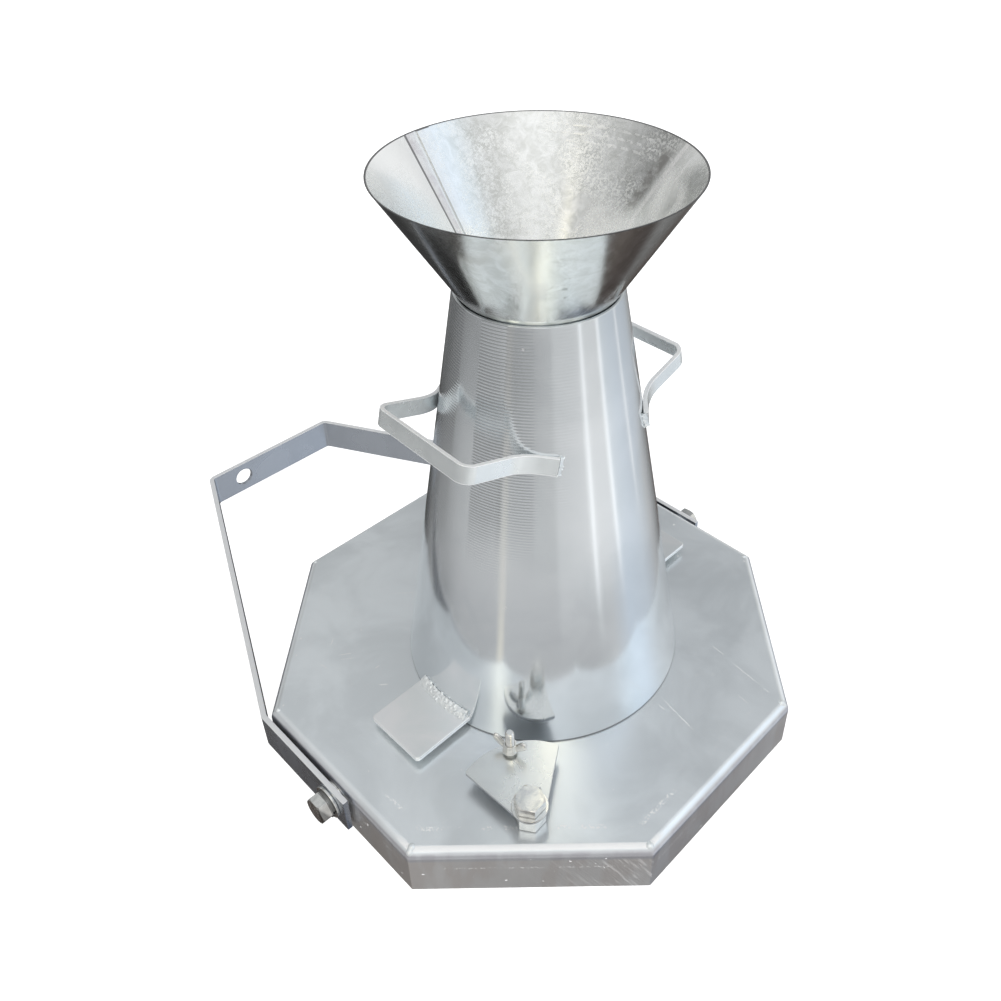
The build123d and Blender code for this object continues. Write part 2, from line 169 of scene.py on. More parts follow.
# Scratches on the tray's top: X and Y of its middle, angle in radians, length and width
TRAY_SCRATCHES = [
    (0.1586, -0.0487, -0.89, 0.029, 0.00042),
    (0.1707, -0.0642, -0.86, 0.006, 0.00042),
    (0.1416, -0.0264, -0.88, 0.012, 0.00045),
    (0.1040, -0.0834, -0.97, 0.038, 0.00055),
    (0.0935, -0.0776, -0.89, 0.008, 0.00040),
    (0.1526, -0.0717, -0.87, 0.011, 0.00032),
    (-0.1016, 0.0374, 0.05, 0.025, 0.00040),
    (-0.1394, -0.0250, 0.19, 0.013, 0.00040),
    (-0.1375, -0.0294, 0.17, 0.012, 0.00035),
    (-0.1518, -0.0128, 1.40, 0.008, 0.00045),
    (-0.1073, -0.0538, 0.07, 0.008, 0.00060),
    (-0.1141, -0.0376, 0.70, 0.005, 0.00070),
    (-0.1538, -0.0363, -0.57, 0.008, 0.00040),
    (0.0420, 0.1450, 0.60, 0.020, 0.00040),
    (-0.0650, 0.1300, -0.40, 0.014, 0.00040),
]


def axis_of(low, high):
    """Middle of a box, at the level of the tray's top."""
    return Vector(((low.x + high.x) / 2, (low.y + high.y) / 2, 0))


# Places read from the frame
mould_low, mould_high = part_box("mould_shell")
mould_axis = axis_of(mould_low, mould_high)
mould_base_radius = (mould_high.x - mould_low.x) / 2
mould_height = mould_high.z
funnel_low, funnel_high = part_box("funnel_hopper")
funnel_rim_radius = (funnel_high.x - funnel_low.x) / 2
funnel_slope = (funnel_rim_radius - FUNNEL_FOOT_RADIUS) / (funnel_high.z - funnel_low.z)
spigot_low, spigot_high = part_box("funnel_spigot")
floor_level = cad_box[0][2]
bail_axis = Vector((cos(radians(45)), sin(radians(45)), 0))
body_of_node = {node: body for body, nodes in frame["record"]["behaviour"]["bodies"].items()
                for node in nodes}


# Modelling helpers

def select_only(piece):
    """Make one piece the active object, and the only one selected."""
    bpy.ops.object.select_all(action="DESELECT")
    piece.select_set(True)
    bpy.context.view_layer.objects.active = piece


def edit_all(piece):
    """Go into edit mode on a piece, with all of it selected."""
    select_only(piece)
    bpy.ops.object.mode_set(mode="EDIT")
    bpy.ops.mesh.select_all(action="SELECT")


def leave_edit():
    """Go back to object mode."""
    bpy.ops.object.mode_set(mode="OBJECT")


def pick(piece, kind, test):
    """Go into edit mode with only those points or faces selected that pass the test."""
    select_only(piece)
    bpy.ops.object.mode_set(mode="EDIT")
    bpy.ops.mesh.select_mode(type=kind)
    bpy.ops.mesh.select_all(action="DESELECT")
    leave_edit()
    for part in piece.data.vertices if kind == "VERT" else piece.data.polygons:
        part.select = test(part)
    bpy.ops.object.mode_set(mode="EDIT")


def modify(piece, kind, **settings):
    """Add a modifier to a piece and apply it."""
    select_only(piece)
    modifier = piece.modifiers.new(kind.lower(), kind)
    for key, value in settings.items():
        setattr(modifier, key, value)
    bpy.ops.object.modifier_apply(modifier=modifier.name)


def settle(piece):
    """Put a piece's place into its mesh, so that its object sits at the origin."""
    select_only(piece)
    bpy.ops.object.transform_apply(location=True, rotation=True, scale=True)


def smooth(piece, angle):
    """Shade a piece smooth, except over edges sharper than the angle in degrees."""
    select_only(piece)
    bpy.ops.object.shade_smooth_by_angle(angle=radians(angle))


def smooth_all(piece):
    """Shade all of a piece smooth."""
    select_only(piece)
    bpy.ops.object.shade_smooth()


def added(name):
    """The primitive that was just added, under its own name."""
    piece = bpy.context.object
    piece.name = name
    piece.data.name = name
    return piece


def join(name, pieces):
    """Several pieces made one."""
    bpy.ops.object.select_all(action="DESELECT")
    for piece in pieces:
        piece.select_set(True)
    bpy.context.view_layer.objects.active = pieces[0]
    bpy.ops.object.join()
    return added(name)


def copy_of(piece, name, matrix=Matrix()):
    """Copy of a piece with its own mesh, moved by a matrix."""
    twin = bpy.data.objects.new(name, piece.data.copy())
    bpy.context.scene.collection.objects.link(twin)
    twin.matrix_world = matrix
    settle(twin)
    return twin


def copy_node(node, name):
    """Copy of a CAD node, with its loose triangles merged into whole faces."""
    piece = copy_of(frame["nodes"][node], name)
    bpy.ops.mesh.customdata_custom_splitnormals_clear()
    edit_all(piece)
    bpy.ops.mesh.remove_doubles(threshold=CAD_MERGE_DISTANCE)
    bpy.ops.mesh.dissolve_limited(angle_limit=FLAT_ANGLE)
    leave_edit()
    return piece


def round_edges(piece, width):
    """Round every sharp edge, and keep the flats flat."""
    modify(piece, "BEVEL", width=width, segments=2, limit_method="ANGLE",
           angle_limit=radians(SHARP_ANGLE), use_clamp_overlap=True)
    smooth(piece, SHARP_ANGLE)
    modify(piece, "WEIGHTED_NORMAL", mode="FACE_AREA", weight=100, keep_sharp=True)


def close_up(hole_sides=None):
    """Merge doubled points in edit mode, fill holes with the sides given, face outward and leave it."""
    bpy.ops.mesh.select_all(action="SELECT")
    bpy.ops.mesh.remove_doubles(threshold=MERGE_DISTANCE)
    if hole_sides is not None:
        bpy.ops.mesh.fill_holes(sides=hole_sides)
    bpy.ops.mesh.normals_make_consistent(inside=False)
    leave_edit()


def section_loop(name, points):
    """Closed loop of edges through the points of a section."""
    bpy.ops.mesh.primitive_circle_add(vertices=len(points), fill_type="NOTHING")
    loop = added(name)
    for corner, point in zip(loop.data.vertices, points):
        corner.co = point
    return loop


def turned(name, section, centre, start=0.0, sweep=FULL_TURN, steps=TURN_STEPS):
    """Piece spun about an upright axis from the radii and heights of its section."""
    way = Vector((cos(start), sin(start), 0))
    piece = section_loop(name, [centre + way * radius + Vector((0, 0, height)) for radius, height in section])
    full = sweep == FULL_TURN
    edit_all(piece)
    bpy.ops.mesh.spin(steps=steps, angle=sweep, center=centre, axis=(0, 0, 1), use_auto_merge=full)
    close_up(None if full else ANY_SIDES)
    return piece


def plain_rod(name, radius, length, bevel):
    """Rod from the origin down to its length, with bevelled ends."""
    bpy.ops.mesh.primitive_cylinder_add(vertices=ROD_STEPS, radius=radius, depth=length,
                                        location=(0, 0, -length / 2))
    rod = added(name)
    settle(rod)
    modify(rod, "BEVEL", width=bevel, segments=1, limit_method="ANGLE", angle_limit=radians(60))
    return rod


def threaded_rod(name, radius, pitch, length, plain):
    """Rod from the origin down to its length, cut with a thread below a plain stretch."""
    core = radius - THREAD_DEPTH * pitch
    pieces = [plain_rod(name, core, length, CORE_BEVEL * pitch)]
    if plain > 0:
        pieces.append(plain_rod(name + "_shank", radius, plain, SHANK_BEVEL * pitch))
    root = core - THREAD_SUNK * pitch
    turns = int((length - plain) / pitch - THREAD_RUN_OUT)
    foot = THREAD_START * pitch - length
    half_foot, half_crest = THREAD_HALF_FOOT * pitch, THREAD_HALF_CREST * pitch
    ridge = section_loop(name + "_ridge", [(root, 0, foot - half_foot), (radius, 0, foot - half_crest),
                                           (radius, 0, foot + half_crest), (root, 0, foot + half_foot)])
    modify(ridge, "SCREW", angle=FULL_TURN, screw_offset=pitch, iterations=turns, steps=THREAD_STEPS,
           render_steps=THREAD_STEPS, axis="Z", use_normal_calculate=True)
    edit_all(ridge)
    close_up(4)
    return join(name, pieces + [ridge])


def weld_drop(place, subdivisions, radius, stretch):
    """One drop of weld metal, stretched along the axes."""
    bpy.ops.mesh.primitive_ico_sphere_add(subdivisions=subdivisions, radius=radius, location=place)
    drop = added("drop")
    drop.scale = stretch
    settle(drop)
    return drop


def weld_over(node, sizes, seed):
    """A plain bead turned into weld metal: drops are set on it, and all is run together and roughened."""
    chance = Random(seed)
    source = frame["nodes"][node].data
    pieces = [copy_node(node, node + "_finished")]
    for _ in range(WELD_DROPS):
        corners = [source.vertices[index].co for index in chance.choice(source.polygons).vertices]
        place = corners[0].lerp(corners[1], chance.random()).lerp(corners[2], chance.random())
        pieces.append(weld_drop(place, 2, chance.uniform(*sizes), (
            chance.uniform(0.8, 1.3), chance.uniform(0.8, 1.3), chance.uniform(0.5, 0.9))))
    bead = join(node + "_finished", pieces)
    modify(bead, "REMESH", mode="VOXEL", voxel_size=0.0004)
    for scale, depth in WELD_LUMPS:
        lumps = bpy.data.textures.new(node + "_lumps", "CLOUDS")
        lumps.noise_scale = scale
        lumps.noise_depth = 1
        modify(bead, "DISPLACE", texture=lumps, strength=depth, mid_level=0.6, texture_coords="LOCAL")
    modify(bead, "SMOOTH", factor=0.4, iterations=1)
    smooth_all(bead)
    return bead


def dress(piece, material, node):
    """Give a piece its material, attach it to the body of the node that it stands for, and hide that node."""
    piece.data.materials.clear()
    piece.data.materials.append(material)
    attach(piece, body_of_node[node])
    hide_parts(node)


# Material helpers

def colour_of(tone):
    """Opaque colour from its three parts, or from one that stands for a grey."""
    return (*tone, 1) if isinstance(tone, (tuple, list)) else (tone, tone, tone, 1)


def feed(node, socket, value):
    """Bring a value to an input of a node: a socket of another node, or a plain number or colour."""
    if isinstance(value, Socket):
        node.id_data.links.new(value, node.inputs[socket])
    else:
        node.inputs[socket].default_value = value


def add_node(tree, kind, inputs=None, **settings):
    """New shader node in a tree, with its settings and its inputs."""
    node = tree.nodes.new("ShaderNode" + kind)
    for key, value in settings.items():
        setattr(node, key, value)
    for socket, value in (inputs or {}).items():
        feed(node, socket, value)
    return node


def outputs_of(kind, inputs, **settings):
    """Outputs of a new node, in the tree that the values at its inputs come from."""
    tree = next(value.id_data for value in inputs.values() if isinstance(value, Socket))
    return add_node(tree, kind, inputs, **settings).outputs


def math_node(operation, first, second=0.0):
    """Result of one sum on two values."""
    return outputs_of("Math", {0: first, 1: second}, operation=operation)[0]


def vector_math(operation, first, second):
    """Result of one sum on two points, number by number."""
    return outputs_of("VectorMath", {0: first, 1: second}, operation=operation)[0]


def product(*factors):
    """Several values multiplied."""
    return reduce(partial(math_node, "MULTIPLY"), factors)


def total(*terms):
    """Several values added."""
    return reduce(partial(math_node, "ADD"), terms)


def largest(*values):
    """The largest of several values."""
    return reduce(partial(math_node, "MAXIMUM"), values)


def minus(first, second):
    """One value less another."""
    return math_node("SUBTRACT", first, second)


def absolute(value):
    """A value without its sign."""
    return math_node("ABSOLUTE", value)


def map_range(value, low, high, to_low=0.0, to_high=1.0):
    """A value carried smoothly from one range to another."""
    return outputs_of("MapRange", {0: value, 1: low, 2: high, 3: to_low, 4: to_high},
                      interpolation_type="SMOOTHSTEP")[0]


def fade(amount, at_none, at_full):
    """One number where an amount is 0, going over to another where it is 1."""
    return map_range(amount, 0.0, 1.0, at_none, at_full)


def band(value, middle, half_width, soft):
    """1 where a value is within a half width of the middle, and 0 beyond a soft edge."""
    return map_range(absolute(minus(value, middle)), half_width, half_width + soft, 1.0, 0.0)


def mix_colour(factor, first, second, blend="MIX"):
    """Blend of two colours."""
    under, over = [tone if isinstance(tone, Socket) else colour_of(tone) for tone in (first, second)]
    return outputs_of("Mix", {0: factor, 6: under, 7: over}, data_type="RGBA", blend_type=blend)[2]


def object_point(tree, scale=(1, 1, 1), turn=(0, 0, 0), move=(0, 0, 0)):
    """Point of the surface in the model's frame, moved, turned and stretched."""
    place = add_node(tree, "TexCoord").outputs["Object"]
    return outputs_of("Mapping", {"Vector": place, "Scale": scale, "Rotation": turn, "Location": move})[0]


def coordinates(point):
    """The three numbers of a point."""
    return outputs_of("SeparateXYZ", {0: point})


def point_of(x, y, z=0.0):
    """The point that has three numbers."""
    return outputs_of("CombineXYZ", {0: x, 1: y, 2: z})[0]


def turned_point(point, angle):
    """A point turned about the upright axis."""
    return outputs_of("VectorRotate", {"Vector": point, "Angle": angle}, rotation_type="Z_AXIS")[0]


def noise(point, scale, detail=2.0, roughness=0.5, distortion=0.0):
    """Cloudy value from 0 to 1."""
    return outputs_of("TexNoise", {"Vector": point, "Scale": scale, "Detail": detail,
                                   "Roughness": roughness, "Distortion": distortion})[0]


def cells(point, scale):
    """Cells about random middles, and three chances from 0 to 1 for each of them."""
    cell = outputs_of("TexVoronoi", {"Vector": point, "Scale": scale})
    return cell, outputs_of("SeparateColor", {0: cell["Color"]})


def ramp(value, stops):
    """Colour read from a value through stops of place and tone."""
    node = add_node(value.id_data, "ValToRGB", {0: value})
    while len(node.color_ramp.elements) < len(stops):
        node.color_ramp.elements.new(1.0)
    for element, (place, tone) in zip(node.color_ramp.elements, stops):
        element.position = place
        element.color = colour_of(tone)
    return node.outputs[0]


def new_group(name, inputs, outputs):
    """Empty shader node group with named number inputs and outputs, what it is given and its result."""
    group = bpy.data.node_groups.new(name, "ShaderNodeTree")
    for way, sockets in (("INPUT", inputs), ("OUTPUT", outputs)):
        for socket in sockets:
            group.interface.new_socket(socket, in_out=way, socket_type="NodeSocketFloat")
    return group, group.nodes.new("NodeGroupInput").outputs, group.nodes.new("NodeGroupOutput")


def place_group(tree, group, **inputs):
    """Outputs of one use of a node group, with its own values."""
    return add_node(tree, "Group", inputs, node_tree=group).outputs


def mask(tree, group, **inputs):
    """Mask from one use of a node group."""
    return place_group(tree, group, **inputs)["Mask"]


def new_material(name, colour, metallic, roughness, coat=0.0, coat_roughness=0.1):
    """New material with one plain shader, and its tree."""
    material = bpy.data.materials.new(name)
    material.use_nodes = True
    shader = material.node_tree.nodes["Principled BSDF"]
    feed(shader, "Base Color", colour_of(colour))
    feed(shader, "Metallic", metallic)
    feed(shader, "Roughness", roughness)
    feed(shader, "Coat Weight", coat)
    feed(shader, "Coat Roughness", coat_roughness)
    return material, material.node_tree, shader


def bump(shader, height, distance):
    """Relief on a shader, as deep as the distance where the height runs from 0 to 1."""
    relief = outputs_of("Bump", {"Height": height, "Distance": distance, "Strength": 1.0})[0]
    feed(shader, "Normal", relief)


# Effects that several finishes share

def make_nicks_group():
    """Small chips and specks: cells of random size, with most of them left out."""
    tree, given, result = new_group("Nicks", ["Scale", "Share", "Size"], ["Mask"])
    point = object_point(tree)
    ragged = outputs_of("TexNoise", {"Vector": point, "Scale": 900.0, "Detail": 1.0})["Color"]
    offset = vector_math("MULTIPLY", ragged, (0.0016, 0.0016, 0.0016))
    cell, chance = cells(vector_math("ADD", point, offset), given["Scale"])
    kept = math_node("LESS_THAN", chance[0], given["Share"])
    reach = product(chance[1], chance[1], given["Size"])
    spot = math_node("LESS_THAN", cell["Distance"], reach)
    feed(result, "Mask", product(kept, spot))
    return tree


def make_scratches_group():
    """Short fine lines that taper out: long thin cells at an angle, with most of them left out."""
    tree, given, result = new_group("Scratches", ["Length", "Share", "Width", "Angle"], ["Mask"])
    slimness = 6.0
    along = math_node("DIVIDE", 1.0, given["Length"])
    across = math_node("DIVIDE", slimness, given["Length"])
    point = vector_math("MULTIPLY", turned_point(object_point(tree), given["Angle"]),
                        point_of(along, across, across))
    cell, chance = cells(point, 1.0)
    sides = coordinates(vector_math("SUBTRACT", point, cell["Position"]))
    slant = product(sides[0], minus(chance[1], 0.5))
    bow = product(sides[0], sides[0], minus(chance[2], 0.5))
    off_line = absolute(minus(sides[1], total(slant, bow)))
    share = math_node("DIVIDE", absolute(sides[0]), fade(chance[2], 0.12, 0.42))
    taper = map_range(share, 0.3, 1.0, 1.0, 0.0)
    near = math_node("LESS_THAN", off_line, product(given["Width"], taper))
    kept = math_node("LESS_THAN", chance[0], given["Share"])
    feed(result, "Mask", product(near, kept, taper))
    return tree


def make_mark_group():
    """One scratch: a fine line about a middle point, at an angle, that wavers, breaks up and tapers out."""
    tree, given, result = new_group("Mark", ["X", "Y", "Angle", "Length", "Width"], ["Mask"])
    place = object_point(tree)
    apart = vector_math("SUBTRACT", place, point_of(given["X"], given["Y"]))
    along, across = coordinates(turned_point(apart, product(given["Angle"], -1.0)))[:2]
    share = math_node("DIVIDE", absolute(along), product(given["Length"], 0.5))
    taper = map_range(share, 0.35, 1.0, 1.0, 0.0)
    waver = product(minus(noise(place, 250.0, 1), 0.5), 0.0009)
    half = product(given["Width"], taper, 0.5)
    line = map_range(minus(absolute(total(across, waver)), half), 0.0, 0.00012, 1.0, 0.0)
    broken = map_range(noise(place, 600.0, 1), 0.36, 0.52, 0.25, 1.0)
    feed(result, "Mask", product(line, broken, map_range(share, 0.9, 1.0, 1.0, 0.0)))
    return tree


def make_clouds_group():
    """Soft patches of a finish that is thicker here and thinner there."""
    tree, given, result = new_group("Clouds", ["Scale"], ["Mask"])
    feed(result, "Mask", noise(object_point(tree), given["Scale"], 4, 0.55, 0.6))
    return tree


def make_round_group():
    """Place on the mould and the funnel: turns about their axis from +X, radius and height."""
    tree, _, result = new_group("Round the axis", [], ["Turn", "Radius", "Height"])
    side, depth, height = coordinates(object_point(tree, move=-mould_axis))
    feed(result, "Turn", math_node("DIVIDE", math_node("ARCTAN2", depth, side), FULL_TURN))
    feed(result, "Radius", math_node("SQRT", total(product(side, side), product(depth, depth))))
    feed(result, "Height", height)
    return tree


nicks_group = make_nicks_group()
scratches_group = make_scratches_group()
mark_group = make_mark_group()
clouds_group = make_clouds_group()
round_group = make_round_group()


# Finishes

def paint_surface(shader, colour, bright, rough, patch_scale, marks, patch_depth=0.07, painted_shade=None):
    """Aluminium paint on a shader: cloudy tone, uneven gloss, bright marks and a colour of painted shade under
    a mask.
    Returns the relief of its marks."""
    patch = mask(shader.id_data, clouds_group, Scale=patch_scale)
    darker = [part * (1 - patch_depth / 2) for part in colour]
    lighter = [min(1.0, part * (1 + patch_depth)) for part in colour]
    tone = mix_colour(map_range(patch, *PATCH_RANGE), darker, lighter)
    if painted_shade is not None:
        tone = mix_colour(painted_shade[0], tone, painted_shade[1])
    feed(shader, "Base Color", mix_colour(product(marks, 0.85), tone, bright))
    gloss = map_range(patch, *PATCH_RANGE, rough - 0.02, rough + 0.03)
    feed(shader, "Roughness", total(gloss, product(marks, 0.25)))
    return product(marks, -0.8)


def make_tray_paint():
    """Satin aluminium paint, marked in rows by the folding press, scratched in use and rubbed on a flange, with
    painted shade on the flanges and a painted highlight along the front's folded edge.
    """
    metallic, rough = 0.84, 0.31
    material, tree, shader = new_material("tray_paint", ALUMINIUM_PAINT, metallic, rough, 0.06, 0.1)
    point = object_point(tree)
    side, depth, height = coordinates(point)
    diagonals = [absolute(product(math_node(kind, side, depth), 0.7071)) for kind in ("ADD", "SUBTRACT")]
    edge = largest(absolute(side), absolute(depth), *diagonals)
    top = math_node("GREATER_THAN", height, -0.001)
    flange = map_range(height, -0.007, -0.010)
    flat_half = TRAY_HALF - TRAY_FOLD
    top_row = product(band(edge, flat_half - TRAY_PRESS_INSET, 0.0012, 0.0005), top)
    flange_row = product(band(height, -TRAY_PRESS_DROP, 0.0006, 0.0003), flange)
    teeth = map_range(noise(point, 620.0, 1), 0.52, 0.60)
    groups = map_range(noise(point, 42.0, 1), 0.46, 0.52)
    pressed = product(largest(top_row, product(flange_row, 0.4)), teeth, groups,
                      map_range(depth, -0.12, -0.16, 0.15, 1.0))
    nicks = mask(tree, nicks_group, Scale=130.0, Share=0.42, Size=0.12)
    scratches = [mask(tree, mark_group, X=x, Y=y, Angle=angle, Length=length, Width=width)
                 for x, y, angle, length, width in TRAY_SCRATCHES]
    fine = mask(tree, scratches_group, Share=0.06, Length=0.010, Width=0.04, Angle=2.6)
    # Painted highlight: the front's folded edge made pale and less metallic.
    fold_highlight = product(map_range(edge, flat_half, flat_half + 0.0012), map_range(height, -0.0016, -0.0009),
                   map_range(depth, -0.17, -0.178))
    lean = radians(35)
    across = total(product(side, cos(lean)), product(height, sin(lean)))
    along = total(product(side, -sin(lean)), product(height, cos(lean)))
    slanting = point_of(across, depth, product(along, 0.08))
    brushed = product(flange, map_range(side, -0.02, 0.06),
                      map_range(depth, 0.003 - TRAY_HALF, 0.0005 - TRAY_HALF))
    strokes = product(map_range(noise(slanting, 560.0, 2), 0.53, 0.68), brushed, 0.3)
    on_top = product(top, largest(product(fine, 0.7), *scratches))
    marks = largest(pressed, nicks, strokes, on_top, fold_highlight)
    smears = noise(object_point(tree, turn=(0, radians(-30), 0), scale=(1, 1, 0.3)), 60.0, 3)
    # Painted shade: the flanges darker than the top, streaked by smears.
    painted_shade = product(map_range(height, -0.0010, -0.0036), map_range(smears, 0.4, 0.62, 0.7, 1.1))
    flange_shade_tone = mix_colour(flange, (0.60, 0.60, 0.635), (0.69, 0.665, 0.65))
    relief = paint_surface(shader, ALUMINIUM_PAINT, 1.0, rough, 15.0, marks, 0.1, (painted_shade, flange_shade_tone))
    feed(shader, "Metallic", fade(marks, metallic, 0.2))
    furrows = product(map_range(noise(slanting, 900.0, 2), 0.45, 0.7), brushed, 2.4)
    bump(shader, total(relief, furrows), PAINT_RELIEF)
    return material


def bar_edges(node):
    """The way that a flat bar's upper edge faces, and how far along it the bar's two edges lie."""
    mesh = frame["nodes"][node].data
    way = max((face for face in mesh.polygons if face.normal.z > 0.9), key=lambda face: face.area).normal
    reaches = [way.dot(point.co) for point in mesh.vertices]
    return way, min(reaches), max(reaches)


def bar_paint_on(name, colour, metallic, rough, brush, edges=None, underside=None, edge_shine=0.15, cut=None):
    """Aluminium paint on flat bar or plate, with a few nicks and the streaks of a brush.
    It is painted pale on a bar's edge faces as a highlight, dull on a plate's underside and painted with shade
    below a plate's cut edge."""
    material, tree, shader = new_material(name, colour, metallic, rough, 0.1, 0.12)
    nicks = mask(tree, nicks_group, Scale=120.0, Share=0.03, Size=0.12)
    lines = mask(tree, scratches_group, Share=0.015, Length=0.014, Width=0.04, Angle=0.4)
    marks = largest(nicks, product(lines, 0.6))
    place = coordinates(object_point(tree))
    if edges is not None:
        way, lower, upper = edges
        reach = total(*[product(part, share) for part, share in zip(place, way)])
        # Painted highlight: a bar's upper and lower edge faces made pale and less metallic.
        wear_and_highlight = largest(map_range(reach, lower + 0.0006, lower + 0.0003),
                       map_range(reach, upper - 0.0006, upper - 0.0003))
        marks = largest(marks, wear_and_highlight)
        feed(shader, "Metallic", fade(wear_and_highlight, metallic, edge_shine))
    if underside is not None:
        feed(shader, "Metallic", map_range(place[2], underside + 0.0002, underside + 0.001, 0.2, metallic))
    painted_shade = None
    # Painted shade: a plate's side faces and underside made dark below its top, with fewer marks.
    if cut is not None:
        painted_shade = (map_range(place[2], cut - 0.0004, cut - 0.0007), (0.42, 0.43, 0.45))
        marks = product(marks, 0.3)
    relief = paint_surface(shader, colour, 0.98, rough, 26.0, marks, painted_shade=painted_shade)
    streaks = noise(object_point(tree, scale=(1, 1, 0.1)), 420.0, 2)
    bump(shader, total(relief, product(streaks, brush)), PAINT_RELIEF)
    return material


def make_mould_paint():
    """Glossy aluminium paint over a turned surface, whose feed lines show best on the left and high up."""
    material, tree, shader = new_material("mould_paint", ALUMINIUM_PAINT, 0.91, 0.2, 0.1, 0.05)
    feed(shader, "Anisotropic", 0.4)
    feed(shader, "Anisotropic Rotation", 0.25)
    turn, _, height = place_group(tree, round_group)
    nicks = mask(tree, nicks_group, Scale=75.0, Share=0.1, Size=0.09)
    wave = math_node("SINE", product(height, FULL_TURN / TURNED_PITCH))
    # The turned lines run fainter in patches.
    wear_and_highlight = noise(object_point(tree, scale=(1, 1, 0.35)), 22.0, 2)
    turned_side = total(0.05, *[product(band(turn, middle, half_width, soft), strength)
                                for middle, half_width, soft, strength in TURNED_SIDES])
    depth = product(map_range(height, 0.12, 0.19), turned_side, map_range(wear_and_highlight, 0.35, 0.62, 0.5, 1.0))
    streaks = noise(object_point(tree, scale=(1, 1, 0.05)), 55.0, 2)
    patch = map_range(mask(tree, clouds_group, Scale=15.0), *PATCH_RANGE)
    tone = mix_colour(patch, (0.82, 0.86, 0.885), (0.90, 0.935, 0.96))
    tone = mix_colour(map_range(height, 0.17, 0.10), tone, (0.87, 0.875, 0.885), "MULTIPLY")
    lines = product(depth, total(product(wave, -0.5), 0.5), 0.8)
    # Painted contact shade: the mould dark along its foot, where it stands on the tray.
    seat = map_range(height, 0.0016, 0.0007)
    for cover, colour in ((lines, (0.60, 0.625, 0.64)), (seat, (0.22, 0.23, 0.24)),
                          (product(nicks, 0.7), 0.95)):
        tone = mix_colour(cover, tone, colour)
    feed(shader, "Base Color", tone)
    gloss = map_range(height, 0.05, 0.17, 0.09, 0.14)
    feed(shader, "Roughness", total(gloss, product(patch, 0.03), product(nicks, 0.2)))
    bump(shader, total(product(wave, depth, 0.8), product(streaks, 1.2)), 0.00004)
    return material


def make_bead_paint():
    """Paint over rough weld metal, with bright specks painted on as glints."""
    colour = (0.88, 0.92, 0.93)
    material, tree, shader = new_material("bead_paint", colour, 0.7, 0.32, 0.2, 0.1)
    point = object_point(tree)
    # Painted glints: bright specks over the rough bead.
    specks = map_range(noise(point, 900.0, 2), 0.58, 0.68)
    relief = paint_surface(shader, colour, (0.97, 0.97, 0.96), 0.3, 200.0, specks)
    bump(shader, total(relief, noise(point, 1100.0, 2)), 0.0001)
    return material


